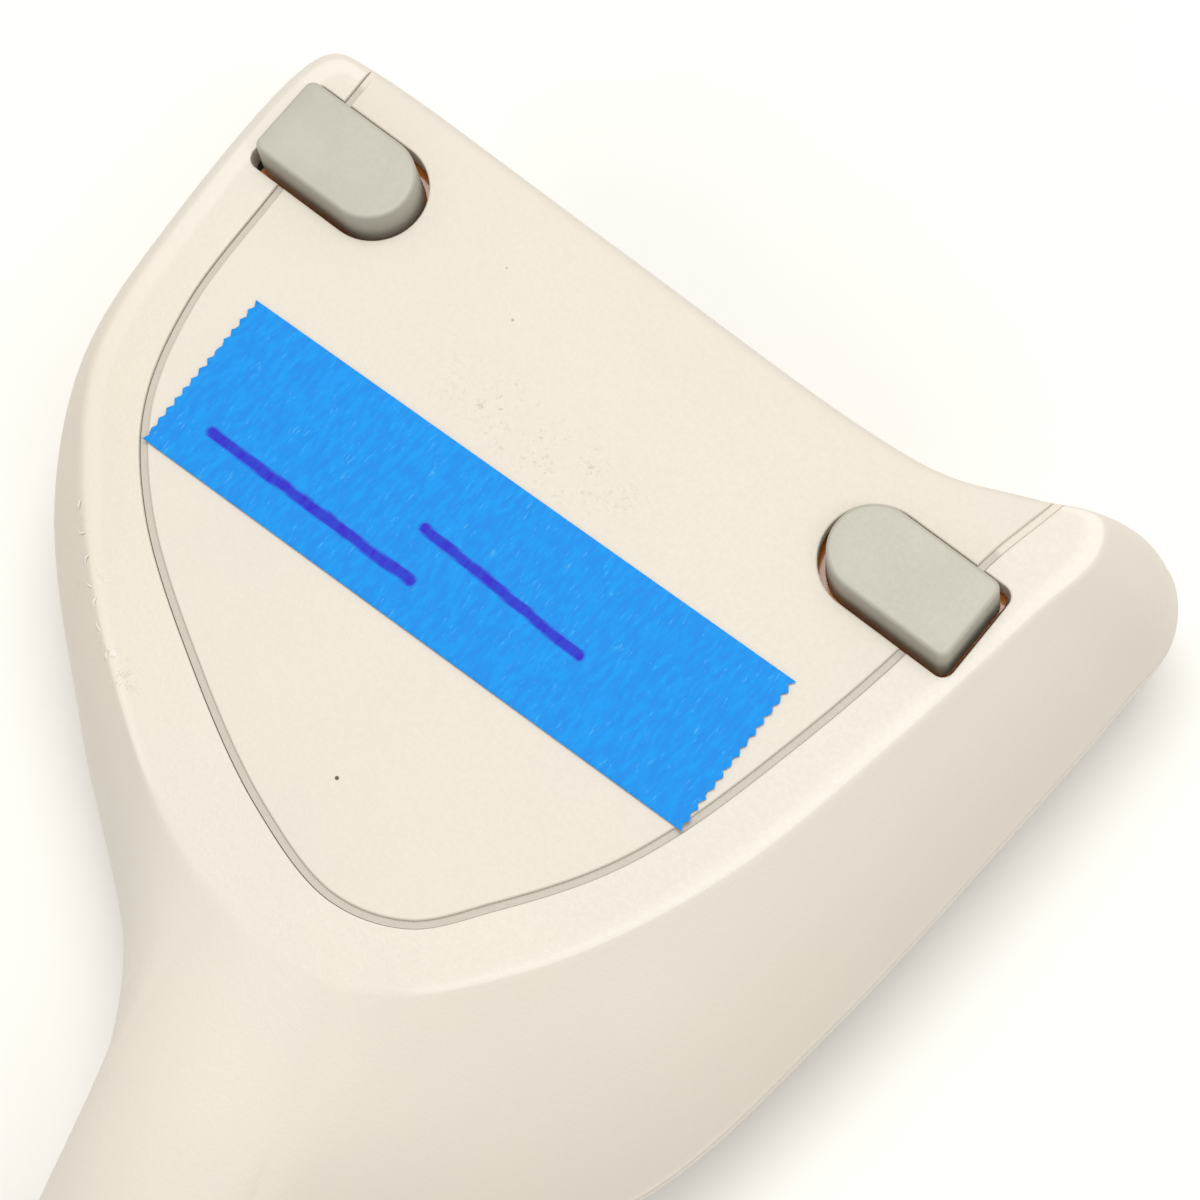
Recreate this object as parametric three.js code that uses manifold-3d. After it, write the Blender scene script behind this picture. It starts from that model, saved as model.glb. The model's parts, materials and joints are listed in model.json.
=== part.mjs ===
// Console-end plug of a light-treatment handpiece: a fan-shaped two-part housing with a
// removable top panel, two sprung release buttons and a cable gland on its tail.
// Millimetres, +X right, +Y towards the console (mating face), +Z up.
// The drawing below has x = 0 midway between the buttons and y = 0 on their centreline;
// ORIGIN moves it so that the part's own origin is at the bottom centre of its box.
import * as THREE from 'three';
import { mergeVertices } from 'three/addons/utils/BufferGeometryUtils.js';
import Module from 'manifold-3d';

const wasm = await Module();
wasm.setup();

// ---- driving dimensions ----------------------------------------------------------------
const ORIGIN = { x: 4.028, y: -61.5 };
const PAD_Z = 38;              // flat top of the housing
const SEAM_Z = 18;             // parting plane between the shells, and the cable axis
const BASE_Z = 1.5;            // underside of the lower shell, above the feet
const GAP = 0.3;               // clearance between touching pieces
const WALL = 2.4;              // side walls and floor
const PAD_THICK = 4.1;         // top wall, panel and ledge together
const PANEL_THICK = 2.2;
const GROOVE = 1.1;            // shallow groove round the panel, along its joint with the shell
const GROOVE_DEPTH = 0.55;
const LEDGE = 5;               // ledge under the panel's edge

const NECK = { x: 25, y: -137, r: 15, bore: 12.5 };
const FACE_Y = 7.6;            // recessed mating face
const BLOCK = { x0: -39.7, x1: 37.2, y0: -1.2, y1: 15.2, z0: 8.3, z1: 29.2, rim: 1.1 };
const SKIRT_Z = 31.8;          // lower edge of the panel's front lip
const LATCH_TOP_Z = 29.3;      // top of the windows for the latch hooks

const BUTTON = { outer: 58.2, length: 21.9, width: 12.3, top: 42.5, foot: 33.9, slot: 1.2 };
const CARRIER = { z0: 31.6, z1: 33.6, lip: 1.9, outerLip: 0.4 };
const TRAVEL_ARM = { x: 47, y: -4 };      // where the carrier's stem meets the lever
const PIVOT = { y: 6, z: 24, r: 1.5 };
const SPRING = { x: 54.5, y: -3, z0: 24.3, z1: 31.3, r: 2.2, wire: 0.45, turns: 4.5 };
const SCREWS = [[56, -14], [-56.5, -14], [45, -54], [-42.5, -53]];
const FEET = [[60, 8], [-54, 6], [52, -74], [-22, -66]];
const LINES_END_Y = -134;

// Plan of the housing, anticlockwise from the tail's right side: each station gives matching
// points on the crease (edge of the flat top), the rim (parting plane) and the base.
const STATIONS = [
  // crease          rim            base
  [[24.5, -85],     [40, -137],    [33, -110]],
  [[30, -81.5],     [43.3, -119],  [39, -104]],
  [[38, -73],       [56, -101],    [50, -93]],
  [[46, -61],       [68, -79],     [62.5, -75]],
  [[54, -42],       [73, -48],     [68, -46]],
  [[59.3, -17],     [75.2, -18],   [70, -18]],
  [[63, 7],         [76.4, 9],     [71.4, 8]],
  [[64.6, 18],      [76, 21],      [71, 18.5]],
  [[62, 22.2],      [69.5, 27.6],  [66.5, 22.5]],
  [[52.5, 18.4],    [56, 24.3],    [57, 19.5]],
  [[42, 14.4],      [44, 18.8],    [44.5, 14]],
  [[31, 13],        [31, 17],      [31, 12]],
  [[-15, 13],       [-15, 17],     [-15, 12]],
  [[-54, 13],       [-58, 17],     [-56, 12]],
  [[-59.5, 12.2],   [-65.5, 15.5], [-61.5, 11]],
  [[-61.5, 9],      [-68, 11],     [-63, 7.5]],
  [[-61.5, -18],    [-67.8, -18],  [-62.8, -18]],
  [[-57.5, -40.5],  [-64.5, -41],  [-59.7, -39.5]],
  [[-48, -54],      [-54, -59.5],  [-50, -56]],
  [[-33, -67.3],    [-31, -79.5],  [-28, -75]],
  [[-13, -80],      [-4, -100.5],  [2, -96]],
  [[-3, -84.3],     [7, -119],     [12, -104]],
  [[4, -85.8],      [10, -137],    [17, -110]],
];
const CREASE_APEX = [14, -87];
const BASE_APEX = [25, -113];
const HOUSING_MIDDLE = [12, -45];

// Centreline of the groove round the panel, open towards the front.
const GROOVE_LINE = [
  [57.6, 40], [56.7, 22.7], [54, 9], [52.6, -8], [49.3, -26], [45, -43], [40.7, -53.3],
  [33, -65], [26, -73.4], [16, -76.8], [1, -73.5], [-18, -64.6], [-36.5, -53],
  [-46.5, -42], [-51.5, -28], [-53, -8], [-54, 15], [-54.3, 40],
];

// ---- plan curves -----------------------------------------------------------------------
const v2 = ([x, y]) => new THREE.Vector2(x, y);

function smoothCurve(points, steps) {
  const curve = new THREE.CatmullRomCurve3(points.map(([x, y]) => new THREE.Vector3(x, y, 0)));
  return curve.getPoints(steps).map((p) => new THREE.Vector2(p.x, p.y));
}

// Moves every point of an open or closed curve sideways: positive is to the left of travel.
function offsetCurve(points, distance, closed = false) {
  const last = points.length - 1;
  return points.map((p, i) => {
    const before = points[i > 0 ? i - 1 : (closed ? last : 0)];
    const after = points[i < last ? i + 1 : (closed ? 0 : last)];
    const along = after.clone().sub(before).normalize();
    return new THREE.Vector2(p.x - along.y * distance, p.y + along.x * distance);
  });
}

const STEPS_PER_STATION = 2;
const SIDE_STEPS = (STATIONS.length - 1) * STEPS_PER_STATION;
const ARC_STEPS = 10;

const side = (column) => {
  const points = STATIONS.map((row) => row[column]);
  const curve = new THREE.CatmullRomCurve3(points.map(([x, y]) => new THREE.Vector3(x, y, 0)));
  return Array.from({ length: SIDE_STEPS + 1 }, (_, i) => {
    const p = curve.getPoint(i / SIDE_STEPS);
    return new THREE.Vector2(p.x, p.y);
  });
};

// The stretch that closes a plan outline behind the apex, without its two end points.
const apexArc = (from, apex, to) => smoothCurve([[from.x, from.y], apex, [to.x, to.y]], ARC_STEPS)
  .slice(1, -1);

const creaseSide = side(0);
const rimSide = side(1);
const baseSide = side(2);

// Rings of 3-D points. The rim ring runs round the parting plane and then up (or down) the
// half circle at the tail's end.
function flatRing(plan, apex, inset, z) {
  const moved = offsetCurve(plan, inset);
  const shifted = [apex[0], apex[1] + inset];
  const arc = apexArc(moved.at(-1), shifted, moved[0]);
  return [...moved, ...arc].map((p) => new THREE.Vector3(p.x, p.y, z));
}

function rimRing(inset, z, upDown) {
  const plan = inset ? offsetCurve(rimSide, inset) : rimSide.map((p) => p.clone());
  const radius = NECK.r - inset;
  plan[0].set(NECK.x + radius, NECK.y);
  plan[plan.length - 1].set(NECK.x - radius, NECK.y);
  const ring = plan.map((p) => new THREE.Vector3(p.x, p.y, z));
  for (let i = 1; i < ARC_STEPS; i += 1) {
    const angle = Math.PI * (1 - i / ARC_STEPS);
    const x = NECK.x + radius * Math.cos(angle);
    ring.push(new THREE.Vector3(x, NECK.y, z + upDown * radius * Math.sin(angle)));
  }
  return ring;
}

// Wall profiles: u runs 0 to 1 from the flat face to the rim.
const tailness = (rimY) => THREE.MathUtils.smoothstep(-rimY, 90, 135);

function upperWall(flat, rim, u) {
  return flat.map((a, i) => {
    const b = rim[i];
    const bulge = THREE.MathUtils.lerp(0.42, 0.68, tailness(b.y));
    const drop = (1 - bulge) * u + bulge * u ** 4;
    return new THREE.Vector3(a.x + (b.x - a.x) * u, a.y + (b.y - a.y) * u, a.z + (b.z - a.z) * drop);
  });
}

function lowerWall(flat, rim, u) {
  const out = Math.sin((u * Math.PI) / 2);
  const up = 1 - Math.cos((u * Math.PI) / 2);
  return flat.map((a, i) => {
    const b = rim[i];
    return new THREE.Vector3(a.x + (b.x - a.x) * out, a.y + (b.y - a.y) * out, a.z + (b.z - a.z) * up);
  });
}

// ---- solids ----------------------------------------------------------------------------
function toSolid(geometry) {
  const bare = geometry.clone();
  bare.deleteAttribute('normal');
  bare.deleteAttribute('uv');
  const merged = mergeVertices(bare, 1e-4);
  return new wasm.Manifold(new wasm.Mesh({
    numProp: 3,
    vertProperties: new Float32Array(merged.attributes.position.array),
    triVerts: new Uint32Array(merged.index.array),
  }));
}

function toGeometry(solid) {
  const mesh = solid.getMesh();
  const geometry = new THREE.BufferGeometry();
  geometry.setAttribute('position', new THREE.BufferAttribute(mesh.vertProperties, 3));
  geometry.setIndex(new THREE.BufferAttribute(mesh.triVerts, 1));
  geometry.computeVertexNormals();
  return geometry;
}

// Skins a stack of rings with equal counts; the first and last are closed by flat caps that
// fan out from `middle`, a point that sees the whole ring.
function loft(rings, middle, inward = false) {
  const count = rings[0].length;
  const position = rings.flat().flatMap((p) => [p.x, p.y, p.z]);
  const faces = [];
  const cap = (ring, start, flip) => {
    const hub = position.length / 3;
    position.push(middle[0], middle[1], ring[0].z);
    for (let i = 0; i < count; i += 1) {
      const [a, b] = [start + i, start + ((i + 1) % count)];
      faces.push(flip ? [hub, b, a] : [hub, a, b]);
    }
  };
  cap(rings[0], 0, inward);
  for (let k = 0; k + 1 < rings.length; k += 1) {
    for (let i = 0; i < count; i += 1) {
      const j = (i + 1) % count;
      const [a, b, c, d] = [k * count + i, (k + 1) * count + i, (k + 1) * count + j, k * count + j];
      faces.push(inward ? [a, c, b] : [a, b, c], inward ? [a, d, c] : [a, c, d]);
    }
  }
  cap(rings.at(-1), (rings.length - 1) * count, !inward);
  const geometry = new THREE.BufferGeometry();
  geometry.setAttribute('position', new THREE.Float32BufferAttribute(position, 3));
  geometry.setIndex(faces.flat());
  return geometry;
}

const box = (x0, x1, y0, y1, z0, z1) => new THREE.BoxGeometry(x1 - x0, y1 - y0, z1 - z0)
  .translate((x0 + x1) / 2, (y0 + y1) / 2, (z0 + z1) / 2);

const solidBox = (...range) => toSolid(box(...range));

function rod(axis, [x, y, z], radius, length, sides = 16) {
  const geometry = new THREE.CylinderGeometry(radius, radius, length, sides);
  geometry.translate(0, length / 2, 0);
  if (axis === 'z') geometry.rotateX(Math.PI / 2);
  if (axis === 'x') geometry.rotateZ(-Math.PI / 2);
  return geometry.translate(x, y, z);
}

const solidRod = (...args) => toSolid(rod(...args));

// A body turned about an axis along +Y through (x, z); the profile lists [radius, y].
function turned(profile, x, z, segments = 16) {
  const points = profile.map(([r, y]) => new THREE.Vector2(r, y));
  const outline = points[0].x === 0 ? points : [...points, points[0].clone()];
  return new THREE.LatheGeometry(outline, segments).translate(x, 0, z);
}

function prism(outline, z0, z1) {
  const shape = new THREE.Shape(outline);
  return new THREE.ExtrudeGeometry(shape, { depth: z1 - z0, bevelEnabled: false }).translate(0, 0, z0);
}

function line(points, radius, steps, sides = 10) {
  const path = new THREE.CatmullRomCurve3(points.map((p) => new THREE.Vector3(...p)));
  const section = new THREE.Shape(Array.from({ length: sides }, (_, i) => {
    const angle = (2 * Math.PI * i) / sides;
    return new THREE.Vector2(radius * Math.cos(angle), radius * Math.sin(angle));
  }));
  return new THREE.ExtrudeGeometry(section, { steps, extrudePath: path, bevelEnabled: false });
}

// ---- materials -------------------------------------------------------------------------
const look = (color, roughness, metalness = 0) => () => (
  new THREE.MeshStandardMaterial({ color, roughness, metalness })
);
const LOOKS = {
  housing: look(0xded9ce, 0.5),
  panel: look(0xe6e0d6, 0.6),
  button: look(0xc3c3b8, 0.5),
  amber: look(0xd0740f, 0.3),
  dark: look(0x2b2c2e, 0.6),
  steel: look(0xb9bbbd, 0.3, 1),
  brass: look(0xc9a452, 0.3, 1),
  rubber: look(0x1d1d1f, 0.85),
  board: look(0x1f6b3a, 0.5),
  tube: look(0xb8c4c8, 0.4),
  redLead: look(0x9c2a22, 0.5),
  greyLead: look(0x6b6d70, 0.5),
  tape: look(0x2590dc, 0.8),
};

const plug = new THREE.Group();
plug.position.set(-ORIGIN.x, -ORIGIN.y, 0);

function piece(name, geometry, material) {
  const mesh = new THREE.Mesh(geometry instanceof wasm.Manifold ? toGeometry(geometry) : geometry,
    LOOKS[material]());
  mesh.name = name;
  plug.add(mesh);
}

// ---- the D-shaped buttons --------------------------------------------------------------
// Outline grown by `grow`, square end outwards, on the side given by sign.
function buttonOutline(sign, grow, outerGrow = grow) {
  const half = BUTTON.width / 2 + grow;
  const outer = BUTTON.outer + outerGrow;
  const corner = 1.3 + Math.max(grow, 0) * 0.3;
  const centre = BUTTON.outer - BUTTON.length + BUTTON.width / 2;
  const shape = new THREE.Path();
  shape.moveTo(centre, -half);
  shape.lineTo(outer - corner, -half);
  shape.absarc(outer - corner, -half + corner, corner, -Math.PI / 2, 0, false);
  shape.lineTo(outer, half - corner);
  shape.absarc(outer - corner, half - corner, corner, 0, Math.PI / 2, false);
  shape.lineTo(centre, half);
  shape.absarc(centre, 0, half, Math.PI / 2, (3 * Math.PI) / 2, false);
  const points = shape.getPoints(4).slice(0, -1);
  const distinct = points.filter((p, i) => p.distanceTo(points[(i + 1) % points.length]) > 1e-3);
  return sign > 0 ? distinct : distinct.map((p) => new THREE.Vector2(-p.x, p.y)).reverse();
}

const buttonSlot = (sign) => toSolid(prism(buttonOutline(sign, BUTTON.slot), 29, 45));

function buttonCap(sign) {
  const levels = [[BUTTON.top, -1.0], [BUTTON.top - 0.35, -0.3], [BUTTON.top - 1.1, 0], [BUTTON.foot, 0.25]];
  const rings = levels.map(([z, grow]) => (
    buttonOutline(sign, grow).map((p) => new THREE.Vector3(p.x, p.y, z))
  ));
  return loft(rings, [sign * (BUTTON.outer - BUTTON.length / 2), 0]);
}

// ---- housing ---------------------------------------------------------------------------
const PROFILE_OUT = [0.35, 0.65, 0.85];
const PROFILE_IN = [0.75, 0.4];

function upperBody() {
  const crease = flatRing(creaseSide, CREASE_APEX, 0, PAD_Z);
  const rim = rimRing(0, SEAM_Z + GAP / 2, 1);
  const innerFlat = flatRing(creaseSide, CREASE_APEX, WALL, PAD_Z - PAD_THICK);
  const innerRim = rimRing(WALL, SEAM_Z + GAP / 2, 1);
  return toSolid(loft([
    crease, ...PROFILE_OUT.map((u) => upperWall(crease, rim, u)), rim,
    innerRim, ...PROFILE_IN.map((u) => upperWall(innerFlat, innerRim, u)), innerFlat,
  ], HOUSING_MIDDLE));
}

function lowerBody() {
  const base = flatRing(baseSide, BASE_APEX, 0, BASE_Z);
  const rim = rimRing(0, SEAM_Z - GAP / 2, -1);
  const innerBase = flatRing(baseSide, BASE_APEX, WALL, BASE_Z + WALL);
  const innerRim = rimRing(WALL, SEAM_Z - GAP / 2, -1);
  const out = [0.35, 0.7];
  const back = [0.6];
  return toSolid(loft([
    base, ...out.map((u) => lowerWall(base, rim, u)), rim,
    innerRim, ...back.map((u) => lowerWall(innerBase, innerRim, u)), innerBase,
  ], HOUSING_MIDDLE, true));
}

const grooveCurve = smoothCurve(GROOVE_LINE, 64);
const grooveLoop = (inset) => offsetCurve(grooveCurve, -inset);
const neckBore = () => solidRod('y', [NECK.x, NECK.y - 3, SEAM_Z], NECK.bore, 25, 24);

const bothSides = (make) => [make(1), make(-1)];
const subtractAll = (solid, cutters) => cutters.reduce((left, cutter) => left.subtract(cutter), solid);
const addAll = (solid, parts) => parts.reduce((left, part) => left.add(part), solid);

const mirroredBox = (sign, x0, x1, ...rest) => (
  solidBox(Math.min(sign * x0, sign * x1), Math.max(sign * x0, sign * x1), ...rest)
);
const latchWindow = (sign) => mirroredBox(sign, 42.2, 51.8, 8, 30, SEAM_Z, LATCH_TOP_Z);

// Where the panel sits: the top skin inside the groove, and the lip over the front wall.
const panelZone = (clear) => solidBox(-80, 80, -100, 40, PAD_Z - PANEL_THICK - clear, 45)
  .add(solidBox(-80, 80, 10.9 - clear, 40, SKIRT_Z - clear, 45));

function upperShell() {
  const bosses = SCREWS.map(([x, y]) => solidRod('z', [x, y, SEAM_Z + GAP / 2], 3.6, 17));
  const pilots = SCREWS.map(([x, y]) => solidRod('z', [x, y, SEAM_Z - 1], 1.8, 13));
  const panelSeat = toSolid(prism(grooveLoop(-GROOVE / 2), 10, 45)).intersect(panelZone(GAP));
  const opening = toSolid(prism(grooveLoop(LEDGE), 25, 45))
    .intersect(solidBox(-80, 80, -100, 7, 25, 45));
  const mating = solidBox(BLOCK.x0 - GAP, BLOCK.x1 + GAP, BLOCK.y0 - GAP, 30, 10, BLOCK.z1 + GAP);
  return subtractAll(addAll(upperBody(), bosses), [
    ...pilots, panelSeat, opening, mating, neckBore(),
    ...bothSides(buttonSlot), ...bothSides(latchWindow),
  ]);
}

function topPanel() {
  // The panel's edge runs on under the groove as a flange, up to a fine gap at the shell.
  const grooveFloor = PAD_Z - GROOVE_DEPTH;
  const flange = toSolid(prism(grooveLoop(GAP - GROOVE / 2), 10, grooveFloor));
  const face = toSolid(prism(grooveLoop(GROOVE / 2), grooveFloor - 1, 45));
  const inside = flange.add(face).intersect(panelZone(0));
  return subtractAll(upperBody().intersect(inside), bothSides(buttonSlot));
}

function lowerShell() {
  const bosses = SCREWS.map(([x, y]) => solidRod('z', [x, y, BASE_Z + 1], 4.4, SEAM_Z - GAP / 2 - BASE_Z - 1));
  const springPosts = bothSides((sign) => solidRod('z', [sign * SPRING.x, SPRING.y, 3], 3, 21));
  const boardPosts = [[3, -13], [29, -36]].map(([x, y]) => solidRod('z', [x, y, 3], 2, 5.3, 16));
  const holes = SCREWS.map(([x, y]) => solidRod('z', [x, y, 0], 1.8, 20));
  const sinks = SCREWS.map(([x, y]) => solidRod('z', [x, y, 0], 3.3, 4.6));
  const mating = solidBox(BLOCK.x0 - GAP, BLOCK.x1 + GAP, BLOCK.y0 - GAP, 30, BLOCK.z0 - GAP, 20);
  return subtractAll(addAll(lowerBody(), [...bosses, ...springPosts, ...boardPosts]), [
    ...holes, ...sinks, mating, neckBore(),
  ]);
}

piece('upper_shell', upperShell(), 'housing');
piece('lower_shell', lowerShell(), 'housing');
piece('top_panel', topPanel(), 'panel');

// ---- release buttons, carriers, springs, levers, pins and brackets ---------------------
function carrier(sign) {
  const plate = toSolid(prism(buttonOutline(sign, CARRIER.lip, CARRIER.outerLip), CARRIER.z0, CARRIER.z1));
  const stemFoot = PIVOT.z + 2 + 1.5 * GAP;
  const stem = solidRod('z', [sign * TRAVEL_ARM.x, TRAVEL_ARM.y, stemFoot], 1.6, CARRIER.z0 + 0.5 - stemFoot);
  return plate.add(stem);
}

function spring(sign) {
  const steps = SPRING.turns * 10;
  const rise = SPRING.z1 - SPRING.z0 - 2 * SPRING.wire;
  const turns = Array.from({ length: steps + 1 }, (_, i) => {
    const angle = (2 * Math.PI * SPRING.turns * i) / steps;
    const z = SPRING.z0 + SPRING.wire + (rise * i) / steps;
    return [
      sign * SPRING.x + SPRING.r * Math.cos(angle),
      SPRING.y + SPRING.r * Math.sin(angle),
      z,
    ];
  });
  return line(turns, SPRING.wire, steps, 5);
}

function lever(sign) {
  const x0 = Math.min(sign * 44.5, sign * 49.5);
  const arm = solidBox(x0, x0 + 5, -7, 15.1, 22, 26);
  const hook = toSolid(prism([[11.1, 22.5], [11.7, 19.5], [14.3, 19.5], [15.9, 22.4], [15.9, 25.2],
    [15.1, 26], [14.1, 26], [14.1, 22.5]].map(v2), 0, 5).rotateX(Math.PI / 2).rotateZ(Math.PI / 2)
    .translate(x0, 0, 0));
  const hub = solidRod('x', [x0, PIVOT.y, PIVOT.z], 4, 5);
  const hole = solidRod('x', [x0 - 1, PIVOT.y, PIVOT.z], PIVOT.r + 0.35, 7);
  return arm.add(hook).add(hub).subtract(hole);
}

function bracket(sign) {
  const x0 = Math.min(sign * 42.3, sign * 51.7);
  const outside = solidBox(x0, x0 + 9.4, 2, 9.7, 4.3, 27.4);
  const inside = solidBox(x0 + 1.6, x0 + 7.8, 0, 12, 5.9, 30);
  const holes = solidRod('x', [x0 - 1, PIVOT.y, PIVOT.z], PIVOT.r + GAP, 12);
  return outside.subtract(inside).subtract(holes);
}

[['left', -1], ['right', 1]].forEach(([name, sign]) => {
  piece(`release_button_${name}`, buttonCap(sign), 'button');
  piece(`button_carrier_${name}`, carrier(sign), 'amber');
  piece(`button_spring_${name}`, spring(sign), 'steel');
  piece(`latch_lever_${name}`, lever(sign), 'steel');
  const pinStart = Math.min(sign * 42, sign * 52);
  piece(`latch_pin_${name}`, rod('x', [pinStart, PIVOT.y, PIVOT.z], PIVOT.r, 10, 16), 'steel');
  piece(`latch_bracket_${name}`, bracket(sign), 'steel');
});

// ---- mating face -----------------------------------------------------------------------
const ROW_Z = 19;
const COUPLINGS = { supply: -26, return: -11.5 };
const COUPLING_R = 6;
const GUIDES = { left: -36, right: 33.6 };
const GUIDE_R = 2.2;
const MEMORY = { x: 5, r: 8.15, y0: 4.4, y1: 8.8 };
const INSULATOR = { x0: 14.6, x1: 29.4, y0: -3.8, y1: 10.2, z0: 19.2, z1: 27.6 };
const CONTACTS = { left: 18.4, right: 25.6 };
const CONTACT = { r: 1.9, z: 23.7, y0: -5.8, y1: 15.7 };
const SOCKET = { x0: 15, x1: 29, y0: -2.8, y1: 10.7, z0: 10.2, z1: 16.2 };

const grown = (b, by) => solidBox(b.x0 - by, b.x1 + by, -10, 40, b.z0 - by, b.z1 + by);

function matingBlock() {
  const body = solidBox(BLOCK.x0, BLOCK.x1, BLOCK.y0, FACE_Y, BLOCK.z0, BLOCK.z1);
  const bores = [
    ...Object.values(COUPLINGS).map((x) => solidRod('y', [x, -10, ROW_Z], COUPLING_R + GAP, 40)),
    ...Object.values(GUIDES).map((x) => solidRod('y', [x, -10, ROW_Z], GUIDE_R + GAP, 17.7)),
    solidRod('y', [MEMORY.x, MEMORY.y0 - GAP, ROW_Z], MEMORY.r + GAP, 20, 24),
  ];
  return subtractAll(body, [...bores, grown(INSULATOR, GAP), grown(SOCKET, GAP)]);
}

function insulator() {
  const body = solidBox(INSULATOR.x0, INSULATOR.x1, INSULATOR.y0, INSULATOR.y1, INSULATOR.z0, INSULATOR.z1);
  const bores = Object.values(CONTACTS).map((x) => solidRod('y', [x, -10, CONTACT.z], CONTACT.r + GAP, 40));
  return subtractAll(body, bores);
}

function signalSocket() {
  const body = solidBox(SOCKET.x0, SOCKET.x1, SOCKET.y0, SOCKET.y1, SOCKET.z0, SOCKET.z1);
  const mouth = solidBox(SOCKET.x0 + 0.9, SOCKET.x1 - 0.9, 2.2, 30, SOCKET.z0 + 0.9, SOCKET.z1 - 0.9);
  const tongue = solidBox(SOCKET.x0 + 2.4, SOCKET.x1 - 2.4, 1.2, 9.2, SOCKET.z0 + 2.3, SOCKET.z1 - 2.3);
  return body.subtract(mouth).add(tongue);
}

piece('mating_block', matingBlock(), 'dark');

// Frame round the recess in front of the block: two rails and two cheeks.
const { x0, x1, y1, z0, z1, rim } = BLOCK;
const frameY = FACE_Y + GAP;
piece('recess_rail_upper', box(x0, x1, frameY, y1, z1 - rim, z1), 'dark');
piece('recess_rail_lower', box(x0, x1, frameY, y1, z0, z0 + rim), 'dark');
piece('recess_cheek_left', box(x0, x0 + rim, frameY, y1, z0 + rim + GAP, z1 - rim - GAP), 'dark');
piece('recess_cheek_right', box(x1 - rim, x1, frameY, y1, z0 + rim + GAP, z1 - rim - GAP), 'dark');
piece('lamp_insulator', insulator(), 'amber');
piece('signal_socket', signalSocket(), 'dark');
piece('memory_can', turned([[0, MEMORY.y0], [MEMORY.r, MEMORY.y0], [MEMORY.r, MEMORY.y1 - 0.6],
  [MEMORY.r - 0.6, MEMORY.y1], [0, MEMORY.y1]], MEMORY.x, ROW_Z, 24), 'steel');

Object.entries(CONTACTS).forEach(([name, x]) => {
  const { r, y0, y1 } = CONTACT;
  piece(`lamp_contact_${name}`, turned([[0, y0], [r, y0], [r, y1 - 1], [r - 1, y1], [0, y1]],
    x, CONTACT.z, 16), 'brass');
});
Object.entries(GUIDES).forEach(([name, x]) => {
  piece(`guide_pin_${name}`, turned([[0, -3.8], [GUIDE_R, -3.8], [GUIDE_R, 14], [0.8, 16.2], [0, 16.2]],
    x, ROW_Z, 16), 'steel');
});
Object.entries(COUPLINGS).forEach(([name, x]) => {
  piece(`coolant_coupling_${name}`, turned([[0, -13.8], [2.8, -13.8], [2.8, -4.8],
    [COUPLING_R, -4.8], [COUPLING_R, 8.2], [4, 8.2], [4, 14.7], [3.6, 15.2], [2, 15.2], [2, 4.2],
    [0, 4.2]], x, ROW_Z), 'steel');
  piece(`coupling_seal_${name}`, new THREE.TorusGeometry(5.0, 0.65, 6, 16).rotateX(Math.PI / 2)
    .translate(x, 9.6, ROW_Z), 'rubber');
});

// ---- circuit board and the lines to the cable ------------------------------------------
piece('circuit_board', box(-1, 33, -39.8, -7.8, 8.6, 10.2), 'board');

const inBore = (dx, dz) => [
  [NECK.x + dx, -101, SEAM_Z + dz],
  [NECK.x + dx, -112, SEAM_Z + dz],
  [NECK.x + dx, LINES_END_Y, SEAM_Z + dz],
];
const TUBE_R = 3.3;
const LEAD_R = 2.2;

piece('coolant_tube_supply', line([[COUPLINGS.supply, -14.1, ROW_Z], [COUPLINGS.supply, -24, ROW_Z],
  [-16, -45, 19], [6, -80, 19.5], ...inBore(-5.2, 1.5)], TUBE_R, 24, 8), 'tube');
piece('coolant_tube_return', line([[COUPLINGS.return, -14.1, ROW_Z], [COUPLINGS.return, -24, ROW_Z],
  [0, -45, 19], [20, -80, 19.5], ...inBore(5.2, 1.5)], TUBE_R, 24, 8), 'tube');
piece('lamp_lead_left', line([[CONTACTS.left, -6.1, CONTACT.z], [CONTACTS.left, -20, 22],
  [18, -50, 13], [20, -80, 11], ...inBore(-3.2, -6)], LEAD_R, 24, 6), 'redLead');
piece('lamp_lead_right', line([[CONTACTS.right, -6.1, CONTACT.z], [CONTACTS.right, -20, 22],
  [27, -50, 13], [29, -80, 11], ...inBore(3.2, -6)], LEAD_R, 24, 6), 'redLead');
piece('signal_cable', line([[7, -40.2, 12.6], [12, -46, 18], [18, -58, 25], [23, -75, 28], [25, -90, 28],
  ...inBore(0, 6.8)], 2, 24, 6), 'greyLead');

// ---- cable clamp, gland and nut --------------------------------------------------------
const CLAMP = { y0: -108.5, y1: -102, half: 17, ear: 3, rOut: 12.6, rIn: 10.6, screw: 14.7 };

function clampHalf(up) {
  const z0 = SEAM_Z + GAP / 2;
  const half = solidBox(-60, 90, -120, -90, z0, z0 + 40);
  const ring = solidRod('y', [NECK.x, CLAMP.y0, SEAM_Z], CLAMP.rOut, CLAMP.y1 - CLAMP.y0, 20);
  const ears = solidBox(NECK.x - CLAMP.half, NECK.x + CLAMP.half, CLAMP.y0, CLAMP.y1, z0, z0 + CLAMP.ear);
  const bore = solidRod('y', [NECK.x, CLAMP.y0 - 1, SEAM_Z], CLAMP.rIn, CLAMP.y1 - CLAMP.y0 + 2, 20);
  const middle = (CLAMP.y0 + CLAMP.y1) / 2;
  const holes = [-1, 1].map((s) => solidRod('z', [NECK.x + s * CLAMP.screw, middle, 0], 1.4, 40, 12));
  const top = subtractAll(ring.add(ears).subtract(bore), holes).intersect(half);
  return up ? top : subtractAll(ring.add(ears.mirror([0, 0, 1]).translate([0, 0, 2 * SEAM_Z]))
    .subtract(bore), holes).subtract(solidBox(-60, 90, -120, -90, SEAM_Z - GAP / 2, 60));
}

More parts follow.
